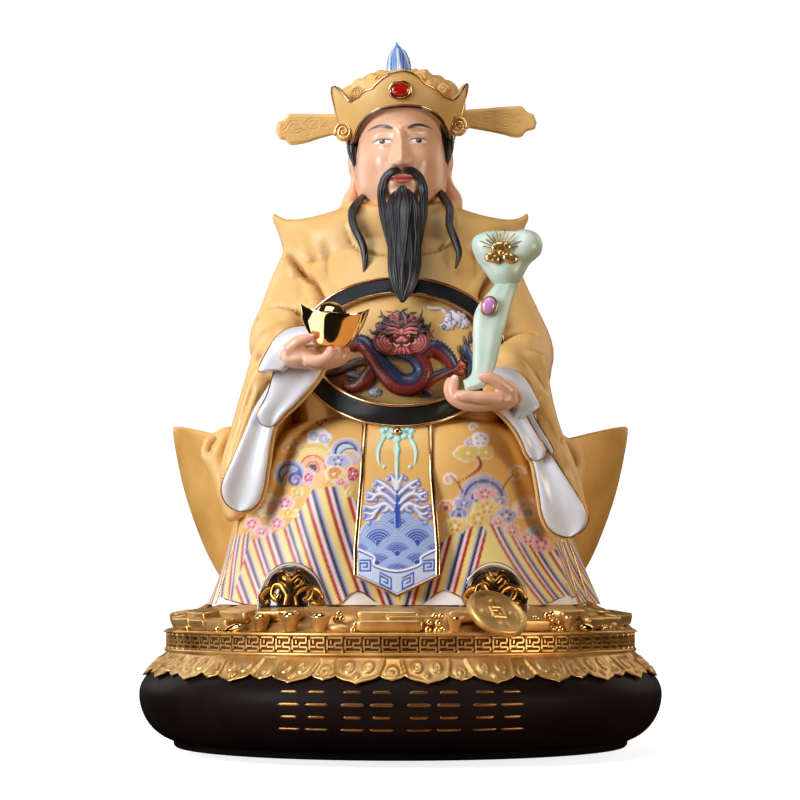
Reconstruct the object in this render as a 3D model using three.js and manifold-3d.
// A seated caishen, the Chinese figure of wealth, in painted and gilded porcelain: a robed official with a winged hat
// and a long beard, who sits in a great gold ingot on a round plinth heaped with coins. One hand holds a small ingot
// on its fingers, the other a green ruyi sceptre. Lengths are millimetres, +Z is up and the figure faces -Y.
// The origin is the centre of the plinth's underside.
import * as THREE from "three";
import { mergeVertices } from "three/addons/utils/BufferGeometryUtils.js";
import Module from "manifold-3d";

// Plinth and gilded bed, each size on its own
const footRadius = 147; // where the plinth stands
const footHeight = 5; // the small upright foot under the bowl
const bowlRadius = 170.3; // the plinth's widest ring
const bowlWaist = 34; // height of the widest ring
const bowlTop = 56; // height of the plinth's flat top
const neckRadius = 150; // the bowl where it meets the foot
const seamGap = 0.3; // air between pieces that rest on each other
const finest = 0.12; // joins leave no step smaller than this
const petalThickness = 1.5; // wall of the gilded petal skirt
const petalProud = 0.5; // the skirt's curve starts this far outside the bowl's waist
const petalLap = 1; // the skirt's top goes this far into the band
const petalRound = 2.3; // the skirt's quarter ellipse would close this far over its top
const petalPairs = 24; // a large and a small petal in each pair
const petalTurn = THREE.MathUtils.degToRad(5.9); // the first large petal, from the front
const largePetalTip = 42; // height of a large petal's point
const smallPetalTip = 44.5;
const petalNotch = 48; // height of the cleft between petals
const bandInset = 15.8; // the upright band with the key pattern stands this far inside the bowl's widest ring
const bandRadius = bowlRadius - bandInset;
const bandBottom = 63;
const bandTop = 73.5;
const bandOverhang = 8.5; // the band stands out this far over the edge of the plinth's flat top
const deckRadius = bandRadius - bandOverhang; // the bowl where it meets its flat top
const bedLip = 2; // the lip over the band stands out this far
const bedTop = 90.7; // level ground under the figure
const heapRun = 20.5; // the heap falls away over this distance inside the band
const bedShoulder = bandRadius - heapRun;
const strokeDepth = 0.8; // the gilded strokes on the plinth's front are cut this deep
const strokeWidth = 1.8;
const strokeLength = 15;
const strokeRows = 2;
const strokeGroups = 4; // groups of strokes along the front
const strokeGroupPitch = 41;
const strokeRowPitch = 11;
const strokeMiddle = 21; // height of the middle row

// Coins and ingots heaped on the bed
const coinRadius = 17.5;
const coinThickness = 3.2;
const bigCoinRadius = 23;
const bigCoinThickness = 4.6;
const littleIngotLength = 19;
const bigCoinOut = 3.5; // middles of these, outside the heap's shoulder
const littleIngotOut = 12;
const coinOut = 8;

// The great ingot that the figure sits in
const seatHalfLength = 152.5; // at its horns
const seatHalfDepth = 64;
const seatFoot = 0.71; // share of the plan that the ingot keeps at its foot
const seatRim = 118; // the horns' height over the bed
const seatDip = 26; // how far the rim sags between the horns
const seatFront = 38; // the ingot reaches this far before the plinth's centre
const seatBack = seatHalfDepth - seatFront; // and its middle stands this far behind it

// The figure is drawn on a sculptor's grid of 371 squares in height, and every number of its pose is in squares
const figureHeight = 371;
const square = figureHeight / 371;
const robeClearance = 4; // the robe's back reaches this much less far back than half the seat's depth
const robeBack = (seatHalfDepth - robeClearance) / square;
const headTilt = THREE.MathUtils.degToRad(-1.75);
const headShift = 1.2; // the head sits this far towards the figure's left, in millimetres

// Pieces that are made by themselves and fixed to the figure
const wingThickness = 3;
const wingReaches = [49, 56]; // from the hat's side to the wing's end, right and left
const wingRootWidth = 13.5;
const wingEndWidth = 19.5;
const wingSocketDepth = 5; // the wing's root goes this far into the hat
const wingNotch = 8; // the wing's corners stand back this far from its end
const hatJewelWidth = 13.4;
const hatJewelHeight = 10;
const jewelProud = 3.2; // how far a jewel stands out of its bezel
const bezelWidth = 1.4;
const sceptreLength = 112; // along the sceptre's back, from tip to head
const sceptreHeadWidth = 43;
const sceptreHeadHeight = 36;
const sceptreStemWidth = 20;
const sceptreThickness = 8.5;
const sceptreJewelWidth = 8;
const sceptreJewelHeight = 11;
const handIngotLength = 44;
const handIngotHeight = 24;
const handIngotDepth = 27;

const wasm = await Module();
wasm.setup();

const vec = (x, y, z) => new THREE.Vector3(x, y, z);
const turn = 2 * Math.PI;
const rad = THREE.MathUtils.degToRad;
const bell = (distance, width) => Math.exp(-((distance / width) ** 2));

// A closed solid from a closed three.js geometry
function solidOf(geometry) {
  const bare = geometry.clone();
  for (const name of Object.keys(bare.attributes)) if (name !== "position") bare.deleteAttribute(name);
  const merged = mergeVertices(bare, 1e-4);
  const made = (triVerts) => {
    const vertProperties = new Float32Array(merged.attributes.position.array);
    return new wasm.Manifold(new wasm.Mesh({ numProp: 3, vertProperties, triVerts }));
  };
  const solid = made(new Uint32Array(merged.index.array));
  return solid.volume() > 0 ? solid : made(new Uint32Array(merged.index.array).reverse());
}

const joined = (solids) => solids.reduce((all, next) => all.add(next));

function meshOf(name, solid, finish) {
  const data = solid.getMesh();
  const geometry = new THREE.BufferGeometry();
  geometry.setAttribute("position", new THREE.BufferAttribute(new Float32Array(data.vertProperties), 3));
  geometry.setIndex(new THREE.BufferAttribute(new Uint32Array(data.triVerts), 1));
  geometry.computeVertexNormals();
  const mesh = new THREE.Mesh(geometry, finish);
  mesh.name = name;
  return mesh;
}

// A closed skin over rings that have the same number of points, with a fan over each end
function skin(rings) {
  const count = rings[0].length;
  const middle = (ring) => ring.reduce((sum, p) => sum.add(p), vec(0, 0, 0)).divideScalar(ring.length);
  const points = [middle(rings[0]), ...rings.flat(), middle(rings[rings.length - 1])];
  const last = points.length - 1;
  const faces = [];
  for (let j = 0; j < count; j += 1) {
    const k = (j + 1) % count;
    faces.push(0, 1 + k, 1 + j);
    for (let i = 0; i + 1 < rings.length; i += 1) {
      const a = 1 + i * count;
      const b = a + count;
      faces.push(a + j, a + k, b + k, a + j, b + k, b + j);
    }
    const end = 1 + (rings.length - 1) * count;
    faces.push(last, end + j, end + k);
  }
  const geometry = new THREE.BufferGeometry().setFromPoints(points);
  geometry.setIndex(faces);
  return solidOf(geometry);
}

// Smooth values between stations: each station is a list of numbers, and t runs from 0 to 1 over them all
function between(stations, t) {
  const place = t * (stations.length - 1);
  const i = Math.min(Math.floor(place), stations.length - 2);
  const u = place - i;
  const at = (k) => stations[Math.max(0, Math.min(stations.length - 1, k))];
  return stations[0].map((_, n) => {
    const [a, b, c, d] = [at(i - 1)[n], at(i)[n], at(i + 1)[n], at(i + 2)[n]];
    return b + 0.5 * u * (c - a + u * (2 * a - 5 * b + 4 * c - d + u * (3 * (b - c) + d - a)));
  });
}

// A limb, lock or strap: stations are [x, y, z, half width, half thickness], and facing is its thin way
function limb(stations, facing, sides = 8, steps = 3 * (stations.length - 1)) {
  const rings = [];
  for (let i = 0; i <= steps; i += 1) {
    const t = i / steps;
    const [x, y, z, wide, thick] = between(stations, t);
    const before = between(stations, Math.max(0, t - 0.01));
    const after = between(stations, Math.min(1, t + 0.01));
    const along = vec(after[0] - before[0], after[1] - before[1], after[2] - before[2]).normalize();
    const across = vec(...facing).cross(along).normalize();
    const out = along.clone().cross(across);
    rings.push(
      Array.from({ length: sides }, (_, j) => {
        const a = (turn * j) / sides;
        return vec(x, y, z)
          .addScaledVector(across, wide * Math.cos(a))
          .addScaledVector(out, thick * Math.sin(a));
      }),
    );
  }
  return skin(rings);
}

// A standing body: levels are [height, half width, reach forward, reach back, x, y], and swell moves a point outwards
function stack(levels, sides, steps, swell = () => 0, squareness = 1) {
  const rings = [];
  for (let i = 0; i <= steps; i += 1) {
    const [z, wide, front, back, x = 0, y = 0] = between(levels, i / steps);
    rings.push(
      Array.from({ length: sides }, (_, j) => {
        const a = (turn * j) / sides;
        const [s, c] = [Math.sin(a), Math.cos(a)];
        const grow = 1 + swell(a, z) / wide;
        const px = wide * Math.sign(s) * Math.abs(s) ** squareness * grow;
        const py = -(c > 0 ? front : back) * Math.sign(c) * Math.abs(c) ** squareness * grow;
        return vec(x + px, y + py, z);
      }),
    );
  }
  return skin(rings);
}

function ball(x, y, z, rx, ry, rz, around = 10, down = 6) {
  return solidOf(new THREE.SphereGeometry(1, around, down).scale(rx, ry, rz).translate(x, y, z));
}

const placed = (solid, matrix) => solid.transform(matrix.elements);

// Turned about its own centre, first about Z, then tipped about X and Y, and moved to a point
function set(solid, x, y, z, spin = 0, tipX = 0, tipY = 0) {
  const turned = new THREE.Matrix4().makeRotationFromEuler(new THREE.Euler(tipX, tipY, spin, "ZYX"));
  return placed(solid, turned.setPosition(x, y, z));
}

const finish = (color, roughness, metalness = 0) => new THREE.MeshStandardMaterial({ color, roughness, metalness });

const darkClay = finish(0x2a2022, 0.55);
const satinGold = finish(0xc08a35, 0.38, 0.75);
const dullGold = finish(0xb98a45, 0.5, 0.6);
const mirrorGold = finish(0xd9a545, 0.08, 1);
const ochreGlaze = finish(0xe3b36a, 0.5);
const celadon = finish(0xbdd9c4, 0.3);
const redGlass = finish(0xb01208, 0.12);
const violetGlass = finish(0xb070b8, 0.12);

// Radius of the plinth's bowl at a height, as two quarter ellipses that meet at the waist
function bowlAt(z) {
  const below = z < bowlWaist;
  const rise = below ? bowlWaist - footHeight : bowlTop - bowlWaist;
  const share = Math.min(1, Math.abs(z - bowlWaist) / (rise * 1.07));
  const depth = (bowlRadius - (below ? neckRadius : deckRadius)) / (1 - Math.sqrt(1 - 1 / 1.07 ** 2));
  return bowlRadius - depth * (1 - Math.sqrt(1 - share * share));
}

// Radius of the petal skirt's outer face: a quarter ellipse from just outside the bowl's waist into the band
const petalTop = bandBottom - 0.8;
function petalAt(z) {
  const round = (height) => Math.sqrt(1 - ((height - bowlWaist) / (petalTop + petalRound - bowlWaist)) ** 2);
  const share = (round(z) - round(petalTop)) / (1 - round(petalTop));
  const top = bandRadius - petalLap;
  return top + (bowlRadius + petalProud - top) * share;
}

function plinth() {
  const sides = 52;
  const heights = [footHeight, 11, 21, bowlWaist, 47, bowlTop];
  const outline = [
    [0, 0],
    [footRadius, 0],
    ...heights.map((z) => [bowlAt(Math.min(z, bowlTop)), z]),
    [0, bowlTop],
  ];
  const turned = new THREE.LatheGeometry(outline.map(([r, z]) => new THREE.Vector2(r, z)), sides).rotateX(Math.PI / 2);
  return solidOf(turned).subtract(joined(strokes()));
}

// Rows of short gilded strokes across the plinth's front, in groups
function strokes() {
  const cuts = [];
  for (let group = 0; group < strokeGroups; group += 1)
    for (let row = 0; row < strokeRows; row += 1)
      for (const side of [-1, 1]) {
        const z = strokeMiddle + (row - (strokeRows - 1) / 2) * strokeRowPitch;
        const along = (group - (strokeGroups - 1) / 2) * strokeGroupPitch + side * 0.6 * strokeLength;
        const length = row % 2 ? strokeLength * 0.75 : strokeLength;
        const slope = Math.atan2(bowlAt(z + 1) - bowlAt(z - 1), 2);
        const angle = along / bowlAt(z);
        const bar = solidOf(new THREE.BoxGeometry(length, 2 * strokeDepth, strokeWidth));
        cuts.push(
          set(bar, bowlAt(z) * Math.sin(angle), -bowlAt(z) * Math.cos(angle), z, angle, -slope),
        );
      }
  return cuts;
}

// The skirt of petals that laps over the bowl: its lower edge rises and falls, its wall follows the bowl
function petals() {
  const perPair = 4;
  const tips = [largePetalTip, petalNotch, smallPetalTip, petalNotch];
  const ups = [[0, 0], [0.5, 0], [1, 0], [1, petalThickness]];
  const rings = ups.map(([up, wall]) =>
    Array.from({ length: petalPairs * perPair }, (_, j) => {
      const a = petalTurn + (turn * j) / (petalPairs * perPair);
      const edge = tips[j % perPair];
      const z = edge + (bandBottom - edge) * up;
      const r = petalAt(Math.min(z, petalTop)) - wall;
      return vec(r * Math.sin(a), -r * Math.cos(a), z - (wall && up ? 0.6 : 0));
    }),
  );
  return tube(rings);
}

// A closed skin whose last ring joins its first, so that it goes round a hole
function tube(rings) {
  const count = rings[0].length;
  const faces = [];
  for (let i = 0; i < rings.length; i += 1)
    for (let j = 0; j < count; j += 1) {
      const [a, b] = [i * count, ((i + 1) % rings.length) * count];
      const k = (j + 1) % count;
      faces.push(a + j, a + k, b + k, a + j, b + k, b + j);
    }
  const geometry = new THREE.BufferGeometry().setFromPoints(rings.flat());
  geometry.setIndex(faces);
  return solidOf(geometry);
}

const coin = (radius, thickness, sides = 14) =>
  solidOf(new THREE.CylinderGeometry(radius, radius, thickness, sides).rotateX(Math.PI / 2));

// A boat-shaped ingot, long in X, standing on z = 0, with the round boss between its horns
function boat(length, height, depth, grow = 0, sides = 14) {
  const rings = [
    [0, 0.52],
    [0.45, 0.68],
    [1, 1],
    [0.86, 0.8],
  ].map(([up, share]) =>
    Array.from({ length: sides }, (_, j) => {
      const a = (turn * j) / sides;
      const [s, c] = [Math.sin(a), Math.cos(a)];
      const horn = up > 0.5 ? 0.28 * height * s * s - 0.12 * height : 0;
      return vec((length / 2) * share * s, (-depth / 2) * share * c * (1 - 0.25 * s * s), height * up + horn);
    }),
  );
  const [around, down] = sides > 10 ? [12, 6] : [6, 4];
  const boss = ball(0, 0, height * 0.74, length * 0.24, depth * 0.34, height * 0.42, around, down);
  const made = skin(rings).add(boss);
  const share = 1 + (2 * grow) / depth;
  return placed(made, new THREE.Matrix4().makeScale(share, share, share).setPosition(0, 0, -grow));
}

// The gilded bed: petals, band, a low heap of ground, and what lies on it
function bed() {
  const sides = 36;
  const outline = [
    [0, bowlTop + seamGap],
    [bandRadius, bowlTop + seamGap],
    [bandRadius, bandTop],
    [bandRadius + bedLip, bandTop + 1],
    [bandRadius + bedLip - 1, bandTop + 3],
    [(bandRadius + bedShoulder) / 2 + 1, bedTop - 6],
    [bedShoulder, bedTop],
    [0, bedTop],
  ];
  const ground = solidOf(
    new THREE.LatheGeometry(outline.map(([r, z]) => new THREE.Vector2(r, z)), sides).rotateX(Math.PI / 2),
  );
  const heap = joined([ground, petals(), ...treasure()]).simplify(finest);
  return cleared(heap, lifted(toSize(joined([skirt(2 * seamGap), ...boots(2 * seamGap)]))));
}

// Coins and small ingots on the slope, laid by their angle from the front
function treasure() {
  const slope = Math.atan2(bedTop - bandTop - 3, heapRun);
  const onSlope = (solid, degrees, radius, sink, tip = slope, twist = 0) => {
    const a = rad(degrees);
    const z = bedTop - Math.max(0, radius - bedShoulder) * Math.tan(slope) - sink;
    const spun = set(solid, 0, 0, 0, twist);
    const tipped = set(spun, 0, 0, 0, 0, tip);
    return set(tipped, radius * Math.sin(a), -radius * Math.cos(a), z, a);
  };
  const made = [onSlope(coin(bigCoinRadius, bigCoinThickness, 18), 23.5, bedShoulder + bigCoinOut, -1.6, 0.72)];
  const ingots = [-58, -41, -22, 44];
  const little = boat(littleIngotLength, littleIngotLength * 0.47, littleIngotLength * 0.53, 0, 6);
  for (const degrees of ingots)
    made.push(onSlope(little, degrees, bedShoulder + littleIngotOut, 2.5, 0.25, rad(20) * Math.sin(degrees)));
  for (let i = 0; i < 7; i += 1) {
    const degrees = 70 + (220 * i) / 6;
    const out = bedShoulder + coinOut + 2 * Math.sin(5 * i);
    made.push(onSlope(coin(coinRadius, coinThickness, 8), degrees, out, 0.6, slope * 0.8));
  }
  return made;
}

// The great ingot: its plan grows from foot to rim, and the rim climbs to a horn at each end
function seat(grow = 0) {
  const sides = 24;
  const shares = [
    [0, seatFoot],
    [0.22, 0.82],
    [0.41, 0.887],
    [0.64, 0.948],
    [0.86, 0.986],
    [1, 1],
    [0.93, 0.93, -1],
    [0.7, 0.7, -1],
  ];
  const rings = shares.map(([up, share, inside = 1]) =>
    Array.from({ length: sides }, (_, j) => {
      const a = (turn * j) / sides;
      const [s, c] = [Math.sin(a), Math.cos(a)];
      const dip = up > 0.5 ? seatDip * Math.abs(1 - s * s) ** 1.6 * (2 * up - 1) : 0;
      const narrow = 1 - 0.2 * s ** 4;
      const wide = seatHalfLength * share + inside * grow;
      const deep = (seatHalfDepth * share + inside * grow) * narrow;
      return vec(wide * s, seatBack - deep * c, seatRim * up - dip + (up > 0 ? grow : -grow));
    }),
  );
  return skin(rings);
}

// Height, half width, reach to the front and reach back as a share of robeBack, of the robe over the legs
const skirtLevels = [
  [0, 128, 100, 1],
  [16, 122, 98, 1],
  [38, 115, 96, 1],
  [62, 107, 97, 0.967],
  [84, 101, 98, 0.933],
  [101, 95, 95, 0.9],
  [114, 84, 86, 0.833],
  [123, 66, 70, 0.7],
  [127, 40, 45, 0.5],
];
const kneeSpread = rad(29);

// A swell for each knee, a hollow between them and soft pleats near the hem
function kneeSwell(angle, height) {
  const side = Math.atan2(Math.sin(angle), Math.cos(angle));
  const knees = bell(side + kneeSpread, 0.3) + bell(side - kneeSpread, 0.3);
  const lap = 13 * knees * (1 - Math.min(1, height / 190)) - 5 * bell(side, 0.16);
  const hem = Math.max(0, 1 - height / 60) * 4.5 * Math.sin(9 * side) * (1 - bell(side, 0.35));
  return lap + hem;
}

function skirt(grow = 0) {
  return stack(
    skirtLevels.map(([z, wide, front, back]) => [z, wide + grow, front + grow, back * robeBack + grow]),
    28,
    8,
    kneeSwell,
  );
}

const bodyLevels = [
  [96, 66, 58, 0.9],
  [118, 74, 66, 0.967],
  [140, 79, 73, 1],
  [160, 82, 76, 1],
  [180, 81, 73, 0.967],
  [200, 77, 65, 0.9],
  [222, 71, 54, 0.783],
  [243, 58, 42, 0.633],
  [262, 36, 31, 0.45],
].map(([z, wide, front, back]) => [z, wide, front, back * robeBack]);

// Where the chest's front lies at a place seen from the front
function chestAt(x, z) {
  let low = 0;
  let high = 1;
  for (let i = 0; i < 24; i += 1) {
    const middle = (low + high) / 2;
    if (between(bodyLevels, middle)[0] < z) low = middle;
    else high = middle;
  }
  const [, wide, front] = between(bodyLevels, low);
  return -front * Math.sqrt(Math.max(0.05, 1 - (x / wide) ** 2));
}

// The robe's yoke, drawn out to a turned-up point over each shoulder
function yoke(side) {
  return limb(
    [
      [side * 18, 0, 240, 34, 20],
      [side * 42, -1, 238, 38, 18],
      [side * 60, -1, 236.5, 37, 15],
      [side * 74, -2, 243, 28, 9],
      [side * 84, -3, 255, 10, 2],
    ],
    [0, 0, 1],
    8,
    5,
  );
}

// The arm in its sleeve, from shoulder to elbow to wrist
function arm(side) {
  return limb(
    [
      [side * 56, 0, 232, 22, 24],
      [side * 65, -4, 205, 24, 25],
      [side * 73, -16, 176, 26, 25],
      [side * 77, -42, 158, 23, 22],
      [side * 75, -68, 157, 17, 16],
    ],
    [0, -1, 0.6],
    8,
    5,
  );
}

// The wide cuff that hangs from the forearm, as level rings longer from front to back than across
function cuff(side, drop) {
  const spread = drop / 3;
  const levels = [
    [172, 15, 34, 80, -32],
    [145, 16, 40, 83 - spread * 0.6, -35],
    [108, 17, 43, 93 - spread, -36],
    [80 - drop, 16, 40, 98 + spread, -38],
    [66 - drop, 13, 31, 98 + spread, -44],
    [57 - drop, 6, 16, 97 + spread, -51],
  ];
  const lean = rad(17) * side;
  const sides = 8;
  const rings = Array.from({ length: 7 }, (_, i) => {
    const [z, across, along, x, y] = between(levels, i / 6);
    return Array.from({ length: sides }, (_, j) => {
      const a = (turn * j) / sides;
      const [u, v] = [across * Math.cos(a), along * Math.sin(a)];
      return vec(side * x + u * Math.cos(lean) - v * Math.sin(lean), y + u * Math.sin(lean) + v * Math.cos(lean), z);
    });
  });
  return skin(rings);
}

// The white linings that show in the sleeve's mouth: a long lobe and a short one before it
function linings(side, drop) {
  const long = limb(
    [
      [side * 76, -68, 152, 9, 5],
      [side * 84, -76, 122, 12, 6],
      [side * 92, -75, 96 - drop * 0.5, 14, 7],
      [side * (98 + drop / 4), -71, 75 - drop, 15, 7],
      [side * (101 + drop / 4), -65, 62 - drop, 7, 4],
    ],
    [side * -0.3, -1, 0],
    6,
    5,
  );
  const short = limb(
    [
      [side * 72, -74, 163, 15, 9],
      [side * 77, -84, 143, 11, 7],
      [side * 83, -85, 122 - drop * 0.4, 9, 6],
      [side * 86, -82, 108 - drop * 0.4, 4, 3],
    ],
    [side * -0.3, -1, 0],
    6,
    4,
  );
  return [long, short];
}

// A hand with its palm up: a palm, four fingers curled at their ends, and a thumb
function hand(side) {
  const reach = (x, y, z) => [side * x, y, z];
  const palm = limb(
    [
      [...reach(79, -58, 157), 9, 8],
      [...reach(65, -88, 151), 12, 8],
      [...reach(52, -98, 149), 13, 6.5],
      [...reach(44, -99, 150), 11, 4.5],
    ],
    [0, 0, 1],
    6,
    3,
  );
  const fingers = [0, 1, 2, 3].map((n) => {
    const y = -107 + 5.2 * n;
    return limb(
      [
        [...reach(48, y, 149.5), 3.4, 3.4],
        [...reach(38, y - 1, 150 + 0.6 * n), 3.2, 3.2],
        [...reach(29 - n, y + 1, 155 + n), 2.6, 2.6],
      ],
      [0, 0, 1],
      4,
      2,
    );
  });
  const thumb = limb(
    [
      [...reach(62, -99, 152), 4.5, 4],
      [...reach(55, -106, 160), 4, 3.6],
      [...reach(47, -108, 165), 3, 2.8],
    ],
    [0, -1, 0],
    4,
    2,
  );
  return [palm, ...fingers, thumb];
}

const faceLevels = [
  [256, 17, 34, 20],
  [262, 25, 41, 26],
  [272, 30.5, 44, 30],
  [285, 31, 44, 33],
  [300, 30.5, 42, 35],
  [316, 30, 40, 36],
  [332, 27, 34, 33],
  [344, 14, 18, 18],
];
const headBack = -6; // the head's axis stands this far towards the front

// Nose, brows, eye hollows, cheeks and lips as soft swells on the head
function faceSwell(angle, height) {
  const x = 30 * Math.atan2(Math.sin(angle), Math.cos(angle));
  if (Math.cos(angle) < 0.2) return 0;
  const bump = (at, z, w, h, size) => size * bell(x - at, w) * bell(height - z, h);
  const nose = bump(0, 280, 4.5, 4.5, 6.5) + bump(0, 288, 3.5, 8, 3.5);
  const hollowOf = (s) => bump(s * 12, 294, 7, 4, -2.4) + bump(s * 13, 301, 8, 3, 1.2) + bump(s * 15, 279, 8, 8, 1.8);
  return nose + hollowOf(-1) + hollowOf(1) + bump(0, 271, 8, 3, 1.5) + bump(0, 260, 9, 4, 3);
}

// The hat: a close band, a crown of cloud lumps behind it, and the flared plate in front
function hat() {
  const band = stack(
    [
      [306, 32.5, 42, 36, 0, headBack],
      [318, 33.5, 44, 38, 0, headBack],
      [332, 35, 40, 38, 0, headBack],
      [345, 31, 30, 33, 0, headBack],
      [354, 18, 18, 20, 0, headBack],
    ],
    12,
    4,
  );
  const lumps = [
    [-31, -6, 338, 13],
    [31, -6, 339, 13],
    [-15, -20, 345, 10],
    [16, -20, 346, 10],
    [-14, 14, 343, 16],
    [14, 14, 344, 16],
  ].map(([x, y, z, r]) => ball(x, y, z, r, r, r * 0.8, 6, 3));
  return [band, ...lumps, plate(), ...[-1, 1].map((s) => volute(s)), plume()];
}

// The plate's height over the brow and at its scalloped top, by angle from the front
const plateFoot = (a) => 319 - 15 * (Math.abs(a) / rad(78)) ** 2;
function plateTop(a) {
  const share = Math.abs(a) / rad(78);
  const arch = 344 - 20 * Math.min(1, share / 0.7) ** 1.6;
  const horn = 14 * Math.max(0, (share - 0.68) / 0.22) * (share < 0.9 ? 1 : Math.max(0, 1 - (share - 0.9) / 0.1));
  return arch + Math.min(14, horn);
}

function plate() {
  const steps = 16;
  const [flare, thickness] = [11, 2.4];
  const rings = Array.from({ length: steps + 1 }, (_, i) => {
    const a = rad(78) * ((2 * i) / steps - 1);
    const [low, high] = [plateFoot(a), plateTop(a)];
    const corner = (up, inside) => {
      const r = 36 + flare * up - (inside ? thickness : 0);
      return vec(r * 1.02 * Math.sin(a), headBack - (r + 4) * Math.cos(a), low + (high - low) * up);
    };
    return [corner(0, false), corner(1, false), corner(1, true), corner(0, true)];
  });
  return skin(rings);
}

// The rolled end of the plate before the ear
function volute(side) {
  return limb([[side * 33, -21, 305, 6, 6], [side * 39, -23, 306, 5, 5]], [0, 0, 1], 8, 1);
}

// The blue flame on the hat's top
function plume() {
  const levels = [[346, 7, 7, 7], [355, 8.5, 7.5, 7.5], [363, 5.5, 5, 5], [371, 0.4, 0.4, 0.4]];
  return stack(levels.map((l) => [...l, 0, -14]), 6, 4);
}

// Long ears whose lobes spread towards the shoulders
function ear(side) {
  return limb(
    [
      [side * 31, -4, 301, 4, 3],
      [side * 33, -3, 290, 7, 4],
      [side * 33.5, -3, 274, 6, 4],
      [side * 36.5, -4, 262, 7, 4.5],
      [side * 36.5, -4, 255, 3, 2],
    ],
    [side, 0, 0],
    6,
    4,
  );
}

// Beard, moustache and the two long side locks
function hair() {
  const beard = limb(
    [
      [0, -43, 268, 13, 8],
      [0, -56, 250, 13.5, 8],
      [0, -66, 232, 11.6, 7.5],
      [0.5, -74, 213, 10.6, 6.5],
      [0.5, -79, 200, 7.4, 4],
      [0.5, -80, 189, 0.8, 0.8],
    ],
    [0, -1, 0],
    8,
    7,
  );
  const sides = [-1, 1].flatMap((s) => [
    limb(
      [
        [s * 1.5, -51, 276, 2.4, 1.8],
        [s * 8, -50, 275, 3, 2.2],
        [s * 13.5, -48, 266, 3.2, 2.4],
        [s * 13, -50, 252, 3, 2.4],
      ],
      [0, -1, 0],
      4,
      4,
    ),
    limb(
      [
        [s * 25, -22, 272, 2.6, 2.6],
        [s * 31, -36, 254, 3, 3],
        [s * 30, -46, 240, 3, 3],
        [s * 30, -54, 228, 2.8, 2.8],
        [s * 29, -57, 212, 0.8, 0.8],
      ],
      [0, -1, 0],
      4,
      6,
    ),
  ]);
  return [beard, ...sides];
}

// The stiff belt that frames the belly: an oval ring pressed on the robe, lower and further out at the bottom
function belt() {
  const [halfWidth, halfHeight, middle, steps] = [68, 48, 161, 20];
  const rings = Array.from({ length: steps }, (_, i) => {
    const a = (turn * i) / steps;
    const corner = (out, proud) => {
      const x = (halfWidth - out) * Math.sin(a);
      const z = middle + (halfHeight - out) * Math.cos(a);
      return vec(x, chestAt(x, z) - proud - 5 * Math.max(0, -Math.cos(a)), z);
    };
    return [corner(0, 3), corner(10.5, 3), corner(10.5, -4), corner(0, -4)];
  });
  const columns = [0, 1, 2, 3].map((k) => rings.map((ring) => ring[k]));
  return tube(columns);
}

// The dragon on the chest, low relief: a coiling body, a maned head seen from the front, and a cloud beside it
function dragon() {
  const onChest = ([x, z, r]) => [x, chestAt(x, z) - 0.35 * r, z, r, r * 0.8];
  const body = [
    [-6, 171, 6],
    [-24, 172, 6.5],
    [-33, 160, 7],
    [-21, 150, 7],
    [-11, 138, 7],
    [3, 131, 6.5],
    [15, 137, 6],
    [10, 148, 6],
    [-3, 153, 5.5],
    [0, 166, 5],
  ];
  const lump = (x, z, rx, ry, rz) => ball(x, chestAt(x, z) - 1, z, rx, ry, rz, 8, 4);
  return [
    limb(body.map(onChest), [0, -1, 0], 4, 13),
    lump(0, 179, 20, 9, 14),
    lump(43, 188, 11, 3, 5),
  ];
}

// The stiff apron that hangs from the belt between the knees to a point over the bed
function apron() {
  const rows = [
    [116, 19, -84],
    [92, 21.5, -97],
    [60, 24, -102],
    [38, 26, -104],
    [15, 1, -105],
  ];
  const rings = rows.map(([z, half, y]) => [
    vec(-half, y, z),
    vec(half, y, z),
    vec(half, y + 14, z),
    vec(-half, y + 14, z),
  ]);
  return [skin(rings)];
}

const bootPlaces = [-66.8, 57.4];
const boots = (grow = 0) =>
  bootPlaces.map((x) => {
    const levels = [
      [0, 20.3, 15, 12],
      [10, 19.6, 15, 12],
      [20 + grow, 15, 12, 12],
      [26.5 + grow, 5, 5, 8],
    ];
    return stack(levels.map(([z, ...sizes]) => [z, ...sizes.map((size) => size + grow), x, -94]), 10, 3);
  });

// What rides on the head turns with it
function tilted(solid) {
  const neck = vec(0, 0, 258);
  const matrix = new THREE.Matrix4()
    .makeTranslation(headShift / square, neck.y, neck.z)
    .multiply(new THREE.Matrix4().makeRotationY(headTilt))
    .multiply(new THREE.Matrix4().makeTranslation(-neck.x, -neck.y, -neck.z));
  return placed(solid, matrix);
}

// From the sculptor's grid to millimetres over the bed
const toSize = (solid) => placed(solid, new THREE.Matrix4().makeScale(square, square, square));

function figure() {
  const head = stack(faceLevels.map((l) => [...l, 0, headBack]), 16, 11, faceSwell);
  const onHead = joined([head, ...hat(), ear(-1), ear(1)]);
  const robe = joined([
    skirt(),
    stack(bodyLevels, 16, 7),
    ...[-1, 1].flatMap((side) => {
      const drop = side > 0 ? 14 : 0;
      return [yoke(side), arm(side), cuff(side, drop), ...linings(side, drop), ...hand(side)];
    }),
    belt(),
    ...dragon(),
    ...apron(),
    ...boots(),
    ...hair(),
  ]);
  return toSize(joined([robe, tilted(onHead)]));
}

const wingPlace = vec(0, -2 * square, 318 * square);

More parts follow.
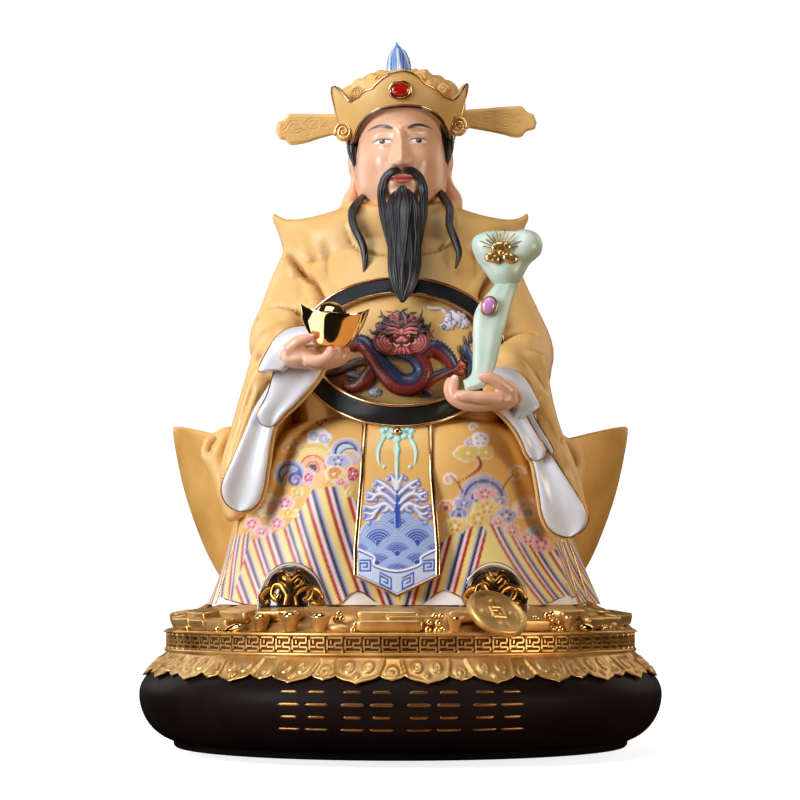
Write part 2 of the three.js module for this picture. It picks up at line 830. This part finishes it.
// A hat wing: a thin plate that widens to a notched end, its root let into the hat's side
function wing(side, grow = 0) {
  const root = 36 * square;
  const outline = new THREE.Shape();
  const [near, far] = [root - wingSocketDepth, root + wingReaches[side < 0 ? 0 : 1]];
  const [r, e] = [wingRootWidth / 2 + grow, wingEndWidth / 2 + grow];
  const lobe = e * 0.55;
  outline.moveTo(near - grow, -r);
  outline.lineTo(far - wingNotch, -e);
  outline.lineTo(far - wingNotch * 0.8, -lobe);
  outline.quadraticCurveTo(far + grow, -lobe, far + grow, 0);
  outline.quadraticCurveTo(far + grow, lobe, far - wingNotch * 0.8, lobe);
  outline.lineTo(far - wingNotch, e);
  outline.lineTo(near - grow, r);
  outline.closePath();
  const thickness = wingThickness + 2 * grow;
  const plateShape = new THREE.ExtrudeGeometry(outline, { depth: thickness, bevelEnabled: false, curveSegments: 4 });
  const upright = plateShape.translate(0, 0, -thickness / 2).rotateX(Math.PI / 2);
  if (side < 0) upright.rotateY(Math.PI);
  return tiltedAt(solidOf(upright), wingPlace);
}

// A piece fixed to the head: moved to its place there, then turned with the head
function tiltedAt(solid, place) {
  const neck = 258 * square;
  const matrix = new THREE.Matrix4()
    .makeTranslation(headShift, 0, neck)
    .multiply(new THREE.Matrix4().makeRotationY(headTilt))
    .multiply(new THREE.Matrix4().makeTranslation(place.x, place.y, place.z - neck));
  return placed(solid, matrix);
}

// An oval stone with a domed front, its back flat, looking towards -Y
function cabochon(width, height, grow = 0) {
  const dome = new THREE.SphereGeometry(1, 12, 6).scale(width / 2 + grow, jewelProud + grow, height / 2 + grow);
  return solidOf(dome);
}

const hatJewelPlace = vec(0, (headBack - 45) * square, 330 * square);
const hatJewel = (grow = 0) => tiltedAt(cabochon(hatJewelWidth, hatJewelHeight, grow), hatJewelPlace);
const hatBezel = () =>
  tiltedAt(cabochon(hatJewelWidth + 2 * bezelWidth, hatJewelHeight + 2 * bezelWidth, -0.6), hatJewelPlace);

// The sceptre's line from the tip in the hand to the head, in the sculptor's squares
const sceptreLine = [
  [40, -112, 136],
  [49, -110, 137],
  [52, -106, 147],
  [54, -104, 162],
  [56.5, -100, 178],
  [62, -96, 191],
  [67, -92, 201],
];

// The sceptre: a flat, gently curved stem that swells in its middle, and a thick lobed head
function sceptre(grow = 0) {
  const widths = [0.3, 0.34, 0.5, 0.72, 1, 0.92, 0.72];
  const drawn = sceptreLength / 112;
  const foot = sceptreLine[0];
  const along = (point) => point.map((value, n) => foot[n] * square + (value - foot[n]) * drawn);
  const stem = limb(
    sceptreLine.map((point, i) => [
      ...along(point),
      (sceptreStemWidth / 2) * widths[i] + grow,
      (sceptreThickness / 2) * (0.6 + 0.4 * widths[i]) + grow,
    ]),
    [0.1, -1, 0.35],
    8,
    9,
  );
  const neck = along(sceptreLine[sceptreLine.length - 1]);
  const lobes = [
    [-0.27, 0.14, 0.27],
    [0.27, 0.16, 0.27],
    [0, 0.2, 0.25],
    [0, -0.1, 0.36],
    [-0.06, -0.3, 0.2],
  ].map(([u, v, size]) =>
    ball(
      neck[0] + u * sceptreHeadWidth,
      neck[1] - 0.12 * sceptreThickness,
      neck[2] + 0.42 * sceptreHeadHeight + v * sceptreHeadHeight,
      size * sceptreHeadWidth + grow,
      sceptreThickness + grow,
      size * sceptreHeadHeight * 1.15 + grow,
      8,
      5,
    ),
  );
  return joined([stem, ...lobes]).simplify(finest);
}

const sceptreJewelPlace = vec(56 * square, -104.6 * square, 180 * square);
const sceptreJewel = (grow = 0) => {
  const [w, h] = [sceptreJewelWidth, sceptreJewelHeight];
  return set(cabochon(w, h, grow), sceptreJewelPlace.x, sceptreJewelPlace.y, sceptreJewelPlace.z, 0, -0.3, 0.2);
};

// The small ingot rests on the fingers of the figure's right hand, its broad side to the front
const handIngotPlace = vec(-41 * square, -104 * square, 156.5 * square);
const handIngot = (grow = 0) =>
  set(
    boat(handIngotLength, handIngotHeight, handIngotDepth, grow, 16),
    handIngotPlace.x,
    handIngotPlace.y,
    handIngotPlace.z,
    rad(8),
    rad(-6),
    rad(3),
  );

const raised = new THREE.Matrix4().makeTranslation(0, 0, bedTop + seamGap);
const lifted = (solid) => placed(solid, raised);
const cleared = (solid, ...others) => others.reduce((left, other) => left.subtract(other), solid);

const jewelBed = hatJewel(seamGap);
const body = cleared(
  joined([figure(), hatBezel()]),
  jewelBed,
  seat(seamGap),
  sceptre(seamGap),
  handIngot(seamGap),
  wing(-1, seamGap),
  wing(1, seamGap),
);

const caishen = new THREE.Group();
caishen.add(
  meshOf("plinth", plinth(), darkClay),
  meshOf("treasure_bed", bed(), satinGold),
  meshOf("seat_ingot", lifted(seat()), dullGold),
  meshOf("figure", lifted(body), ochreGlaze),
  meshOf("hat_wing_right", lifted(wing(-1)), ochreGlaze),
  meshOf("hat_wing_left", lifted(wing(1)), ochreGlaze),
  meshOf("hat_jewel", lifted(hatJewel()), redGlass),
  meshOf("hand_ingot", lifted(handIngot()), mirrorGold),
  meshOf("ruyi_sceptre", lifted(cleared(sceptre(), sceptreJewel(seamGap))), celadon),
  meshOf("sceptre_jewel", lifted(sceptreJewel()), violetGlass),
);

export default caishen;
